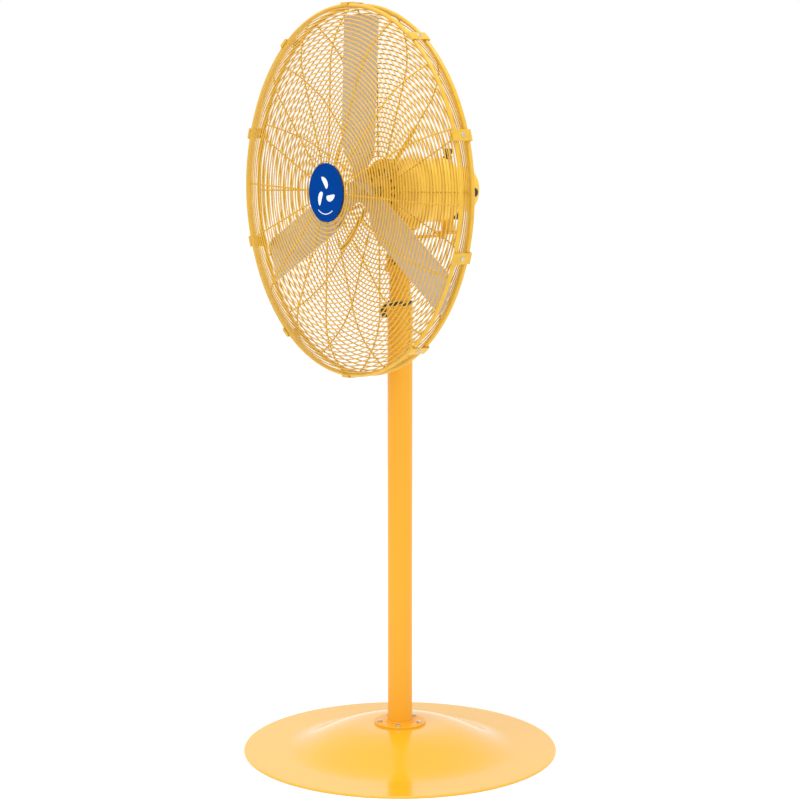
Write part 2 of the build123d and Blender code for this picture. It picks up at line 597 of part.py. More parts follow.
def make_rotor():
    half = BLADE_CHORD / 2
    bend_r = (half ** 2 + BLADE_CAMBER ** 2) / (2 * BLADE_CAMBER)
    bend_y = BLADE_CAMBER / 2 - bend_r

    def sheet(outline, inner, outer):
        """The part of a long cylinder's wall that lies over an outline."""
        wall = along_x(outer, 0, 400, bend_y) - along_x(inner, -1, 401, bend_y)
        flat = make_face(Plane.XZ * Polyline(*outline, close=True))
        flat = fillet(flat.vertices(), 11)
        return wall & extrude(flat, 60, both=True)

    blade_outline = [(BLADE_ROOT_R, -26), (BLADE_ROOT_R + 24, -half + 2), (BLADE_TIP_R - 8, -half),
                     (BLADE_TIP_R, 0), (BLADE_TIP_R - 8, half), (BLADE_ROOT_R + 24, half - 2),
                     (BLADE_ROOT_R, 26)]
    arm_outline = [(10, -17), (50, -20), (84, -46), (ARM_TIP_R, -46), (ARM_TIP_R, 46), (84, 46),
                   (50, 20), (10, 17)]
    face, back = bend_r - BLADE_T / 2, bend_r + BLADE_T / 2
    blade = sheet(blade_outline, face, back)
    arm = sheet(arm_outline, back, back + ARM_T)
    rivets = []
    for radius, off in RIVETS:
        tilt = math.degrees(math.asin(off / bend_r))
        place = Pos(radius, bend_y, 0) * Rot(tilt, 0, 0) * Rot(-90, 0, 0)
        hole = place * Pos(0, 0, bend_r) * Cylinder(2.5, 30)
        blade, arm = blade - hole, arm - hole
        low, high = face - 2.0, back + ARM_T + 2.0
        shank = Pos(0, 0, (low + high) / 2) * Cylinder(2.5, high - low)
        heads = [Pos(0, 0, z) * Cylinder(5, 1.9) for z in (face - 1.05, back + ARM_T + 1.05)]
        rivets.append(place * (shank + heads[0] + heads[1]))
    hub = pipe_y(23, SHAFT_R, HUB_S - 24, HUB_S + 14)
    hub = fillet(hub.edges().group_by(Axis.Y)[0].filter_by(lambda e: e.radius > 20), 3)
    all_rivets = []
    for number, angle in enumerate(around(BLADE_COUNT, BLADE_TURN), 1):
        hub = hub + (blade_frame(arm, angle) - along_y(22, 50, 200))
        save(f"blade_{number}", blade_frame(blade, angle))
        all_rivets += [blade_frame(rivet, angle) for rivet in rivets]
    screw_s = HUB_S - 18
    hub = hub - Pos(0, -screw_s, AXIS_Z + 16) * Cylinder(3, 20)
    shaft = along_y(SHAFT_R, -128, HUB_S + 14) + along_y(TAIL_R, -168, -128)
    save("blade_spider", hub)
    save("blade_rivets", *all_rivets)
    save("spider_set_screw", disc(3, AXIS_Z + SHAFT_R, AXIS_Z + 21, 0, -screw_s))
    save("rotor_shaft", shaft)
    save("rotor_core", pipe_y(STATOR_BORE - 0.5, SHAFT_R, *STACK_S))
    save("worm", pipe_y(WORM_R, TAIL_R, -166, -134))


def build():
    make_stand()
    make_height_knob()
    make_mast()
    make_tilt_knob()
    make_neck()
    make_motor_case(make_struts())
    make_bearings()
    make_motor_works()
    make_saddle()
    make_gearbox()
    make_drive()
    make_control_knobs()
    make_rotor()
    make_badge()
    make_clips()
    make_guards()


build()
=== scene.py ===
import json
import math

import bmesh
import bpy
import numpy as np
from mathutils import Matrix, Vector


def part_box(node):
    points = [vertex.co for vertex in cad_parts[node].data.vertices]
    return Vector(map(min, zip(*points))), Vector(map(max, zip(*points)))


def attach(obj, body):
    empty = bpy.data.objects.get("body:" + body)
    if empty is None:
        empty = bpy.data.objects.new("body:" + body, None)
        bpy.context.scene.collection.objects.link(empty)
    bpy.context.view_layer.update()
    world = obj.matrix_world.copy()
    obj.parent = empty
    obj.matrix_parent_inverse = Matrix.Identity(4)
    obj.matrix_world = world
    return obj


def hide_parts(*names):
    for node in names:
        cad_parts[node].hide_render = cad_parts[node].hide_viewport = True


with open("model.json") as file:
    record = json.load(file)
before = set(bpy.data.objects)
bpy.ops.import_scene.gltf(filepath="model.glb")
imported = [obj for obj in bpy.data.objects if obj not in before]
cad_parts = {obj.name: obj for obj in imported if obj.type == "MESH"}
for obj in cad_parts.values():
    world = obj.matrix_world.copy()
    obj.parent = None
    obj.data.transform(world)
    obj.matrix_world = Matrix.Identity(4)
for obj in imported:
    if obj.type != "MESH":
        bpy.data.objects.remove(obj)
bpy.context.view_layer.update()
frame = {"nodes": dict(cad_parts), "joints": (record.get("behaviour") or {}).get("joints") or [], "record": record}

BODY_OF = {node: body for body, members in frame["record"]["behaviour"]["bodies"].items()
           for node in members}
SLOT_OF = {part["node"]: part["material_slot"] for part in frame["record"]["subparts"]}
JOINT = {joint["name"]: joint for joint in frame["joints"]}
MM = 0.001


def middle(node):
    low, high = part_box(node)
    return (low + high) / 2


# --- sizes read from the frame ------------------------------------------------------------------
AXIS_Z = JOINT["blade_spin"]["pos_m"][2]
FOOT_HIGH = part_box("foot_plate")[1]
FOOT_R, FOOT_TOP = FOOT_HIGH.x, FOOT_HIGH.z
GUARD_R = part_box("front_guard")[1].x


# --- camera, floor and light ---------------------------------------------------------------------
def make_camera():
    """Level eye beyond the front right of the fan, turned down to the middle of the column."""
    azimuth, distance, height = math.radians(53.3), 4.5, 1.42
    down = math.radians(7.81)
    camera = bpy.data.objects.new("camera", bpy.data.cameras.new("camera"))
    bpy.context.scene.collection.objects.link(camera)
    camera.data.lens = 91.5
    camera.data.sensor_width = 36.0
    camera.data.clip_end = 60.0
    camera.location = (distance * math.sin(azimuth), -distance * math.cos(azimuth), height)
    aim = Vector((-math.sin(azimuth) * math.cos(down), math.cos(azimuth) * math.cos(down),
                  -math.sin(down)))
    camera.rotation_euler = aim.to_track_quat("-Z", "Y").to_euler()
    bpy.context.scene.camera = camera


def soft_light(name, place, aim, size, power):
    light = bpy.data.lights.new(name, "AREA")
    light.shape = "DISK"
    light.size = size
    light.energy = power
    lamp = bpy.data.objects.new(name, light)
    lamp.location = place
    lamp.rotation_euler = (Vector(aim) - Vector(place)).to_track_quat("-Z", "Y").to_euler()
    bpy.context.scene.collection.objects.link(lamp)


def make_studio():
    world = bpy.data.worlds.new("studio")
    world.use_nodes = True
    sky = world.node_tree.nodes["Background"]
    sky.inputs["Color"].default_value = (1.0, 1.0, 1.0, 1.0)
    sky.inputs["Strength"].default_value = 1.0
    bpy.context.scene.world = world
    bpy.context.scene.view_settings.view_transform = "Standard"
    soft_light("top", place=(0.6, -1.2, 5.2), aim=(0, 0, 0.4), size=2.6, power=95)
    soft_light("side", place=(4.6, -1.6, 2.6), aim=(0, 0, 1.1), size=2.0, power=14)


# --- shader helpers ------------------------------------------------------------------------------
MIX_FACTOR, MIX_FIRST, MIX_SECOND, MIX_RESULT = 0, 6, 7, 2  # a Mix node's sockets for colours


class Value:
    """A shader socket that takes part in sums: each operator adds its own Math node."""

    def __init__(self, finish, socket):
        self.finish, self.socket = finish, socket

    def _sum(self, operation, first, second):
        return self.finish.add("ShaderNodeMath", {"operation": operation}, [first, second])

    def __add__(self, other):
        return self._sum("ADD", self, other)

    def __radd__(self, other):
        return self._sum("ADD", other, self)

    def __sub__(self, other):
        return self._sum("SUBTRACT", self, other)

    def __rsub__(self, other):
        return self._sum("SUBTRACT", other, self)

    def __mul__(self, other):
        return self._sum("MULTIPLY", self, other)

    def __rmul__(self, other):
        return self._sum("MULTIPLY", other, self)


class Finish:
    """One material: a Principled shader with its nodes added by add()."""

    def __init__(self, name, colour, roughness, metallic=0.0, **constants):
        self.material = bpy.data.materials.new(name)
        self.material.use_nodes = True
        self.material.diffuse_color = (*colour, 1.0)
        self.tree = self.material.node_tree
        self.shader = self.tree.nodes["Principled BSDF"]
        self.set("Base Color", (*colour, 1.0))
        self.set("Roughness", roughness)
        self.set("Metallic", metallic)
        for socket, value in constants.items():
            self.set(socket.replace("_", " "), value)

    def set(self, socket, value):
        self._feed(self.shader.inputs[socket], value)

    def _feed(self, target, value):
        if isinstance(value, Value):
            self.tree.links.new(value.socket, target)
        else:
            target.default_value = value

    def add(self, kind, settings=(), inputs=(), output=0):
        """A node of one type: its settings first, then its sockets by name or in order."""
        node = self.tree.nodes.new(kind)
        for key, value in dict(settings).items():
            setattr(node, key, value)
        pairs = inputs.items() if isinstance(inputs, dict) else enumerate(inputs)
        for key, value in pairs:
            self._feed(node.inputs[key], value)
        return Value(self, node.outputs[output])

    def place(self, stretch=(1.0, 1.0, 1.0)):
        where = self.add("ShaderNodeTexCoord", output="Object")
        return self.add("ShaderNodeMapping", {}, {"Vector": where, "Scale": stretch})

    def noise(self, scale, detail=2.0, stretch=(1.0, 1.0, 1.0)):
        return self.add("ShaderNodeTexNoise", {}, {"Vector": self.place(stretch), "Scale": scale,
                                                   "Detail": detail}, "Fac")

    def blend(self, factor, first, second):
        """Colour between first and second."""
        return self.add("ShaderNodeMix", {"data_type": "RGBA"},
                        {MIX_FACTOR: factor, MIX_FIRST: (*first, 1.0),
                         MIX_SECOND: (*second, 1.0)}, MIX_RESULT)

    def bump(self, height, strength, depth):
        self.set("Normal", self.add("ShaderNodeBump", {}, {"Height": height, "Strength": strength,
                                                           "Distance": depth}, "Normal"))


# --- finishes ------------------------------------------------------------------------------------
def powder_coat():
    """Safety yellow powder coat: even colour, soft gloss and a fine orange peel."""
    paint = Finish("yellow_powder_coat", (0.86, 0.39, 0.010), 0.34, Coat_Weight=0.08,
                   Coat_Roughness=0.2, Specular_IOR_Level=0.4)
    cloud = paint.noise(3.5, 3.0)
    grain = paint.noise(420.0, 2.0)
    paint.set("Base Color", paint.blend(cloud, (0.89, 0.405, 0.011), (0.83, 0.375, 0.008)))
    paint.set("Roughness", 0.28 + cloud * 0.08 + grain * 0.06)
    paint.bump(grain + paint.noise(1300.0) * 0.3, 0.10, 0.0006)
    return paint.material


def foot_yellow_painted_light():
    """Glossy yellow on the spun foot: clear reflections at low angles and a slight flow pattern. Its colour is
    painted lighter and yellower than the column's yellow, as painted light from above falling on the dish.
    """
    paint = Finish("yellow_foot_painted_light", (0.84, 0.44, 0.012), 0.16, Coat_Weight=0.35,
                   Coat_Roughness=0.1)
    flow = paint.noise(5.0, 3.0)
    grain = paint.noise(300.0, 2.0)
    paint.set("Base Color", paint.blend(flow, (0.87, 0.46, 0.014), (0.81, 0.42, 0.010)))
    paint.set("Roughness", 0.13 + flow * 0.08)
    paint.bump(grain, 0.04, 0.0005)
    return paint.material


def motor_yellow_painted_light():
    """Yellow enamel on the motor's castings and shell, painted brighter and yellower than the column's yellow as
    painted light from above falling on the head.
    """
    paint = Finish("yellow_motor_painted_light", (0.90, 0.52, 0.028), 0.32, Coat_Weight=0.15,
                   Coat_Roughness=0.15)
    cloud = paint.noise(14.0, 4.0)
    grain = paint.noise(600.0, 2.0)
    paint.set("Base Color", paint.blend(cloud, (0.94, 0.55, 0.032), (0.86, 0.48, 0.022)))
    paint.set("Roughness", 0.26 + cloud * 0.08 + grain * 0.06)
    paint.bump(grain, 0.12, 0.0005)
    return paint.material


def dipped_wire():
    """The same yellow on wire, a little glossier where it ran together."""
    paint = Finish("yellow_wire_coat", (0.76, 0.45, 0.03), 0.36)
    runs = paint.noise(60.0, 3.0)
    paint.set("Base Color", paint.blend(runs, (0.82, 0.49, 0.035), (0.62, 0.35, 0.018)))
    paint.set("Roughness", 0.24 + runs * 0.14)
    paint.bump(runs, 0.15, 0.0004)
    return paint.material


def mill_aluminium():
    """Rolled aluminium sheet: fine streaks along the sheet and faint handling marks."""
    metal = Finish("mill_aluminium", (0.60, 0.54, 0.44), 0.38, 0.9)
    streak = metal.noise(14.0, 6.0, (6.0, 6.0, 60.0))
    marks = metal.noise(22.0, 5.0)
    metal.set("Base Color", metal.blend(streak, (0.73, 0.64, 0.53), (0.54, 0.47, 0.39)))
    metal.set("Roughness", 0.30 + marks * 0.22)
    metal.bump(streak, 0.08, 0.0005)
    return metal.material


def zinc_plate():
    metal = Finish("zinc_plated_steel", (0.66, 0.66, 0.64), 0.32, 1.0)
    patch = metal.noise(180.0, 4.0)
    metal.set("Base Color", metal.blend(patch, (0.74, 0.74, 0.72), (0.52, 0.52, 0.50)))
    metal.set("Roughness", 0.24 + patch * 0.2)
    metal.bump(metal.noise(900.0, 3.0), 0.06, 0.0002)
    return metal.material


def moulded_black():
    """Black moulding compound with a fine spark-eroded grain."""
    plastic = Finish("black_moulding", (0.018, 0.018, 0.019), 0.45)
    grain = plastic.noise(1500.0, 3.0)
    wear = plastic.noise(40.0, 3.0)
    plastic.set("Base Color", plastic.blend(wear, (0.014, 0.014, 0.015), (0.030, 0.030, 0.031)))
    plastic.set("Roughness", 0.38 + wear * 0.16)
    plastic.bump(grain, 0.2, 0.0002)
    return plastic.material


def badge_enamel():
    """Deep blue printed plate under a clear lacquer."""
    enamel = Finish("blue_enamel", (0.002, 0.048, 0.27), 0.45, Specular_IOR_Level=0.0)
    flow = enamel.noise(30.0, 3.0)
    enamel.set("Base Color", enamel.blend(flow, (0.002, 0.050, 0.28), (0.002, 0.044, 0.25)))
    enamel.set("Roughness", 0.40 + flow * 0.1)
    enamel.bump(enamel.noise(700.0), 0.05, 0.0002)
    return enamel.material


def badge_ink():
    ink = Finish("white_ink", (0.86, 0.88, 0.90), 0.4)
    dots = ink.noise(900.0, 2.0)
    ink.set("Base Color", ink.blend(dots, (0.88, 0.90, 0.92), (0.80, 0.83, 0.87)))
    ink.bump(dots, 0.05, 0.0001)
    return ink.material


def winding_copper():
    copper = Finish("varnished_copper", (0.16, 0.05, 0.02), 0.45, 0.5)
    strand = copper.noise(500.0, 2.0, (1.0, 0.1, 1.0))
    copper.set("Base Color", copper.blend(strand, (0.22, 0.07, 0.03), (0.09, 0.03, 0.012)))
    copper.bump(strand, 0.5, 0.0008)
    return copper.material


def laminated_steel():
    steel = Finish("laminated_steel", (0.06, 0.06, 0.065), 0.6, 0.5)
    layers = steel.noise(40.0, 1.0, (0.2, 60.0, 0.2))
    steel.set("Base Color", steel.blend(layers, (0.08, 0.08, 0.085), (0.03, 0.03, 0.032)))
    steel.bump(layers, 0.3, 0.0004)
    return steel.material


def gear_bronze():
    bronze = Finish("gear_bronze", (0.55, 0.34, 0.12), 0.35, 1.0)
    tone = bronze.noise(90.0, 3.0)
    bronze.set("Base Color", bronze.blend(tone, (0.62, 0.40, 0.15), (0.42, 0.25, 0.09)))
    bronze.set("Roughness", 0.28 + tone * 0.2)
    return bronze.material


def floor_paint():
    floor = Finish("floor", (0.93, 0.93, 0.93), 0.9, Emission_Color=(1.0, 1.0, 1.0, 1.0),
                   Emission_Strength=0.12)
    tone = floor.noise(2.0)
    floor.set("Base Color", floor.blend(tone, (0.93, 0.93, 0.93), (0.925, 0.925, 0.925)))
    return floor.material


make_camera()
make_studio()
PAINT = powder_coat()
MOTOR_YELLOW_PAINTED_LIGHT = motor_yellow_painted_light()
FOOT_YELLOW_PAINTED_LIGHT = foot_yellow_painted_light()
WIRE = dipped_wire()
ALUMINIUM = mill_aluminium()
ZINC = zinc_plate()
BLACK = moulded_black()
FINISH_OF_SLOT = {"yellow_paint": PAINT, "black_plastic": BLACK, "zinc_steel": ZINC,
                  "blade_aluminium": ALUMINIUM, "badge_blue": badge_enamel(),
                  "core_steel": laminated_steel(), "copper": winding_copper(),
                  "bronze": gear_bronze()}


# --- surface helpers -----------------------------------------------------------------------------
MERGE_DISTANCE = 0.001 * MM


def circle(count):
    """Angles at equal steps once round."""
    return np.linspace(0.0, 2.0 * np.pi, count, endpoint=False)


def turned(x, y, angle):
    cos, sin = np.cos(angle), np.sin(angle)
    return x * cos - y * sin, x * sin + y * cos


def spread(*parts):
    """Coordinates brought to one shape and put together as points."""
    return np.stack(np.broadcast_arrays(*parts), -1)


def on_axis(across, s, up):
    """Points by their place from the fan's axis: across it, s forward along it and up from it."""
    return spread(across, -s, AXIS_Z + up)


def capped(points):
    """Rings of points with one more at each end, gathered in the middle of the ring it closes."""
    ends = [np.broadcast_to(points[[k]].mean(1, keepdims=True), points[[k]].shape)
            for k in (0, -1)]
    return np.concatenate([ends[0], points, ends[1]])


def shell(points, closed=False):
    """Rings of points and the quads between them; closed joins the last ring to the first."""
    rows, columns = points.shape[:2]
    i, j = np.meshgrid(np.arange(rows if closed else rows - 1), np.arange(columns), indexing="ij")
    up, right = (i + 1) % rows, (j + 1) % columns
    quads = np.stack([i * columns + j, i * columns + right, up * columns + right,
                      up * columns + j], -1)
    return points.reshape(-1, 3), quads.reshape(-1, 4)


def piece(name, shells, material, body, replaces=(), crease=35.0):
    """One object from shells of (points, quads), smooth except over edges sharper than crease."""
    starts = np.cumsum([0] + [len(points) for points, _ in shells[:-1]])
    points = np.concatenate([points.reshape(-1, 3) for points, _ in shells])
    faces = np.concatenate([faces + start for (_, faces), start in zip(shells, starts)])
    mesh = bpy.data.meshes.new(name)
    mesh.from_pydata(points.tolist(), [], faces.tolist())
    shape = bmesh.new()
    shape.from_mesh(mesh)
    bmesh.ops.remove_doubles(shape, verts=shape.verts, dist=MERGE_DISTANCE)
    bmesh.ops.recalc_face_normals(shape, faces=shape.faces)
    shape.to_mesh(mesh)
    shape.free()
    return finish_piece(name, mesh, material, body, replaces, crease)


def finish_piece(name, mesh, material, body, replaces, crease):
    mesh.shade_smooth()
    mesh.set_sharp_from_angle(angle=math.radians(crease))
    made = bpy.data.objects.new(name, mesh)
    bpy.context.scene.collection.objects.link(made)
    made.data.materials.append(material)
    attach(made, body)
    if replaces:
        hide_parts(*replaces)
    return made


def bevelled(made, width, segments=2, angle=30.0):
    edge = made.modifiers.new("edge", "BEVEL")
    edge.width = width
    edge.segments = segments
    edge.limit_method = "ANGLE"
    edge.angle_limit = math.radians(angle)
    edge.harden_normals = True
    return made


def refined(node, width=0.0, finish=None, crease=32.0):
    """A CAD node's own shape with its points merged, round faces shaded smooth and edges eased."""
    mesh = frame["nodes"][node].data.copy()
    shape = bmesh.new()
    shape.from_mesh(mesh)
    bmesh.ops.remove_doubles(shape, verts=shape.verts, dist=MERGE_DISTANCE)
    bmesh.ops.dissolve_limit(shape, angle_limit=math.radians(1.0), verts=shape.verts,
                             edges=shape.edges)
    shape.to_mesh(mesh)
    shape.free()
    normals = mesh.attributes.get("custom_normal")
    if normals:
        mesh.attributes.remove(normals)
    mesh.materials.clear()
    made = finish_piece(node + "_finished", mesh, finish or FINISH_OF_SLOT[SLOT_OF[node]],
                        BODY_OF[node], (node,), crease)
    return bevelled(made, width) if width else made


def profile_shell(profile, axis, turns=128):
    """A closed (radius, distance) profile turned about the column ("z") or the fan's axis ("s")."""
    radius, along = np.asarray(profile, float).T
    angle = circle(turns)[:, None]
    across, up = radius * np.cos(angle), radius * np.sin(angle)
    points = spread(across, up, along) if axis == "z" else on_axis(across, along, up)
    return shell(points, closed=True)


def eased(corners, steps=5):
    """A closed outline of (x, y, radius) corners, each rounded by an arc of that radius."""
    outline = []
    count = len(corners)
    for i in range(count):
        here = np.array(corners[i][:2], float)
        ease = corners[i][2]
        if ease <= 0.0:
            outline.append(here)
            continue
        before = np.array(corners[i - 1][:2], float) - here
        after = np.array(corners[(i + 1) % count][:2], float) - here
        before, after = before / np.hypot(*before), after / np.hypot(*after)
        half = math.acos(np.clip(before @ after, -1, 1)) / 2
        middle_way = (before + after) / np.hypot(*(before + after))
        centre = here + middle_way * ease / math.sin(half)
        reach = ease / math.tan(half)
        first, last = here + before * reach - centre, here + after * reach - centre
        turn = math.atan2(first[0] * last[1] - first[1] * last[0], first @ last)
        for t in np.linspace(0.0, turn, steps):
            outline.append(centre + turned(*first, t))
    return np.array(outline)


# --- wire guards ----------------------------------------------------------------------------------
RING_R = 1.45 * MM
SPOKE_R = 1.7 * MM
RIM_R = 4.5 * MM
SPOKES = 16
WELD_SINK = 0.7 * MM
SPOKE_OVERHANG = 3 * MM
WIRE_BEAD_R, RIM_BEAD_R = 2.1 * MM, 3.6 * MM
BEAD_FLATTENING = 0.6
FLAT_STEPS, BEND_STEPS = 15, 20
WIRE_CREASE = 60.0
FRONT_SHAPE = {"face_s": 195 * MM, "rim_s": 143 * MM, "first_r": 57.5 * MM, "pitch": 9.5 * MM,
               "flat_rings": 23, "bend_rings": 16, "phase": -2.2}
REAR_SHAPE = {"face_s": 56 * MM, "rim_s": 113 * MM, "first_r": 76.5 * MM, "pitch": 10.5 * MM,
              "flat_rings": 18, "bend_rings": 15, "phase": 1.0}


def hoop(radius, s, wire_r, sides=8, spacing=7.0 * MM):
    """Torus about the fan's axis: a wire circle carried round a larger circle of given radius."""
    turns = int(max(40, 2.0 * np.pi * radius / spacing))
    angle, around = circle(turns)[:, None], circle(sides)
    reach = radius + wire_r * np.cos(around)
    return shell(on_axis(reach * np.cos(angle), s + wire_r * np.sin(around),
                         reach * np.sin(angle)), closed=True)


def bent_wire(radius, s, angle, wire_r, sides=8):
    """Tube along a radial path of (radius, s) points: a circle carried square to the path."""
    path = np.stack([radius, s], -1)
    along = np.gradient(path, axis=0)
    along /= np.hypot(along[:, 0], along[:, 1])[:, None]
    square = np.stack([-along[:, 1], along[:, 0]], -1)
    around = circle(sides)
    out = path[:, None] + wire_r * np.cos(around)[:, None] * square[:, None]
    across, up = turned(out[..., 0], wire_r * np.sin(around), angle)
    return shell(capped(on_axis(across, out[..., 1], up)))


def bead(radius, s, angle, size):
    """Weld bead: a sphere flattened towards the wires it joins."""
    u, v = np.linspace(0, np.pi, 5)[:, None], circle(6)
    across, up = turned(radius + size * np.sin(u) * np.cos(v), size * np.sin(u) * np.sin(v), angle)
    return shell(on_axis(across, s + BEAD_FLATTENING * size * np.cos(u), up))


def make_guard(node, face_s, rim_s, first_r, pitch, flat_rings, bend_rings, phase):
    """Rings on a flat face and on one long bend down to the rim, on spokes that run under them."""
    side = 1.0 if face_s > rim_s else -1.0
    rim_r = GUARD_R - RIM_R
    depth = abs(face_s - rim_s)
    shoulder = first_r + (flat_rings - 1) * pitch
    slope = 2.0 * math.atan2(depth, rim_r - shoulder)
    bend_r = depth / (1.0 - math.cos(slope))
    centre_s = face_s - side * bend_r

    def on_bend(reach, turn):
        return shoulder + reach * np.sin(turn), centre_s + side * reach * np.cos(turn)

    turns = slope * np.arange(1, bend_rings) / bend_rings
    rings = [(first_r + i * pitch, face_s) for i in range(flat_rings)]
    rings += list(zip(*on_bend(bend_r, turns)))
    under = RING_R + SPOKE_R - WELD_SINK
    bent_r, bent_s = on_bend(bend_r - under, np.linspace(0, slope, BEND_STEPS))
    flat_r = np.linspace(first_r - SPOKE_OVERHANG, shoulder, FLAT_STEPS, endpoint=False)
    path_r = np.concatenate([flat_r, bent_r])
    path_s = np.concatenate([np.full(FLAT_STEPS, bent_s[0]), bent_s])
    welds = [(first_r + i * pitch, face_s - side * RING_R) for i in range(flat_rings)]
    welds += list(zip(*on_bend(bend_r - RING_R, turns)))
    angles = np.radians(phase + 360.0 / SPOKES * np.arange(SPOKES))
    shells = [hoop(r, s, RING_R) for r, s in rings]
    shells += [bent_wire(path_r, path_s, angle, SPOKE_R) for angle in angles]
    shells += [bead(r, s, angle, WIRE_BEAD_R) for angle in angles for r, s in welds]
    piece(node + "_wires", shells, WIRE, "head", (node,), WIRE_CREASE)
    rim = [hoop(rim_r, rim_s, RIM_R, sides=20, spacing=5.0 * MM)]
    rim += [bead(rim_r - RIM_R, rim_s, angle, RIM_BEAD_R) for angle in angles]
    piece(node + "_rim", rim, WIRE, "head", (), WIRE_CREASE)


# --- foot and column ------------------------------------------------------------------------------
def foot_height(radius):
    """Dome height: half a cosine wave from the flat top down to the flat rim."""
    flat_r, top_r, rim_z = 266 * MM, 62 * MM, 5 * MM
    t = np.clip((radius - top_r) / (flat_r - top_r), 0.0, 1.0)
    fall = 0.5 - 0.5 * np.cos(np.pi * t ** 1.25)
    return FOOT_TOP - (FOOT_TOP - rim_z) * fall


def make_foot():
    """Spun dish: the dome line above, the same line a sheet's thickness lower, a rolled lip."""
    sheet_t, hole_r, lip = 3.0 * MM, 16.0 * MM, 2.5 * MM
    top_r, dome_in, dome_out, lip_z, lip_under = 40 * MM, 60 * MM, 275 * MM, 2.0 * MM, 0.3 * MM
    radius = np.concatenate([[hole_r, top_r], np.linspace(dome_in, dome_out, 60),
                             [FOOT_R - 2 * lip]])
    upper = np.stack([radius, foot_height(radius)], -1)
    turn = np.linspace(np.pi / 2, -np.pi / 2, 9)
    rolled = np.stack([FOOT_R - lip + lip * np.cos(turn), lip + lip * np.sin(turn)], -1)
    lower = np.stack([radius, foot_height(radius) - sheet_t], -1)[::-1]
    lower[0] = (FOOT_R - 2 * lip, lip_z)
    outline = np.concatenate([upper, rolled, [[FOOT_R - 1.9 * lip, lip_under]], lower])
    piece("foot_dish", [profile_shell(outline, "z", turns=256)], FOOT_YELLOW_PAINTED_LIGHT, "stand",
          ("foot_plate",))


def tube(inner_r, outer_r, bottom, top, ease):
    """Outline of a tube with its outer top edge eased."""
    return eased([(inner_r, bottom, 0), (outer_r, bottom, 0), (outer_r, top, ease),
                  (inner_r, top, 0)])


def make_column():
    """Welded flange, column tube with its knob boss, and mast tube."""
    flange_bore, flange_t, wall, tube_lift = 14 * MM, 5 * MM, 2.8 * MM, 2 * MM
    flange_ease, tube_ease, boss_ease = 1.5 * MM, 0.5 * MM, 1.2 * MM
    flange_top = FOOT_TOP + flange_t
    tube_r, tube_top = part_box("column_bush")[1].x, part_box("column_tube")[1].z
    flange = tube(flange_bore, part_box("column_flange")[1].x, FOOT_TOP, flange_top, flange_ease)

    weld_out, weld_up, weld_wide, weld_high = 1.0 * MM, 0.4 * MM, 2.8 * MM, 2.6 * MM
    ripples, ripple_depth = 46, 0.10
    angle, around = circle(180)[:, None], circle(10)
    ripple = 1.0 + ripple_depth * np.sin(angle * ripples)
    reach = tube_r + weld_out + weld_wide * ripple * np.cos(around)
    weld = spread(reach * np.cos(angle), reach * np.sin(angle),
                  flange_top + weld_up + weld_high * ripple * np.sin(around))
    piece("column_flange_welded", [profile_shell(flange, "z"), shell(weld, closed=True)], PAINT,
          "stand", ("column_flange",))

    column = tube(tube_r - wall, tube_r, FOOT_TOP + tube_lift, tube_top, tube_ease)
    boss_bore, boss_r, boss_reach, boss_root = 0.5 * MM, 11 * MM, 11 * MM, 1 * MM
    boss = tube(boss_bore, boss_r, tube_r - boss_root, tube_r + boss_reach, boss_ease)
    upright, quads = profile_shell(boss, "z", turns=64)
    level = spread(-upright[:, 2], upright[:, 0], middle("height_knob").z + upright[:, 1])
    piece("column_pipe", [profile_shell(column, "z", turns=160), (level, quads)], PAINT, "stand",
          ("column_tube",))

    low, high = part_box("mast_tube")
    mast = tube(high.x - wall, high.x, low.z, high.z, tube_ease)
    piece("mast_pipe", [profile_shell(mast, "z")], PAINT, "mast", ("mast_tube",))


# --- blades ---------------------------------------------------------------------------------------
BLADE_HALF = 53.0 * MM
BLADE_ROOT, BLADE_TIP = 74.0 * MM, 378.0 * MM
BLADE_CAMBER = 6.0 * MM
BLADE_PITCH = math.radians(9.0)
BLADE_PHASE = 87.0
HUB_S = 115.0 * MM
SHEET_T, ARM_T = 2.0 * MM, 3.0 * MM
RIVET_PLACES = ((98, 37), (98, -37), (84, 0))  # millimetres along and across each blade
RIVET_R, RIVET_RISE = 5 * MM, 0.45
BEND_R = (BLADE_HALF ** 2 + BLADE_CAMBER ** 2) / (2 * BLADE_CAMBER)


def on_blade(along, across, lift, angle):
    """Points of a blade: across bends round a large circle, lift is towards the back."""
    turn = across / BEND_R
    reach = BEND_R + lift
    y, z = turned(reach * np.cos(turn) + BLADE_CAMBER / 2 - BEND_R, reach * np.sin(turn),
                  BLADE_PITCH)
    side, up = turned(along, z, angle)
    return on_axis(side, HUB_S - y, up)


def sheet_shell(along, half, angle, columns=17):
    """A closed bent sheet whose half width follows its length; its rings run round both faces."""
    across = np.linspace(-1.0, 1.0, columns)
    lift = np.repeat([-0.5, 0.5], columns) * SHEET_T
    lift[[0, columns - 1]] += 0.25 * SHEET_T
    lift[[columns, -1]] -= 0.25 * SHEET_T
    along, across = along[:, None], half[:, None] * np.concatenate([across, across[::-1]])
    points = on_blade(along, across, lift, angle)
    ends = [on_blade(along[[k]], across[[k]], 0.0, angle) for k in (0, -1)]
    return shell(np.concatenate([ends[0], points, ends[1]]))


def blade_half(along):
    """Half width along a blade: widening shoulders at the root, then even, then a rounded tip."""
    root_half, shoulder_half, shoulder_run, tip_run = 26 * MM, 51 * MM, 24 * MM, 10 * MM
    root = np.interp(along, [BLADE_ROOT, BLADE_ROOT + shoulder_run, BLADE_TIP],
                     [root_half, shoulder_half, BLADE_HALF])
    tip = np.clip((along - BLADE_TIP + tip_run) / tip_run, 0.0, 1.0)
    return root * (1.0 - tip ** 3) ** 0.34


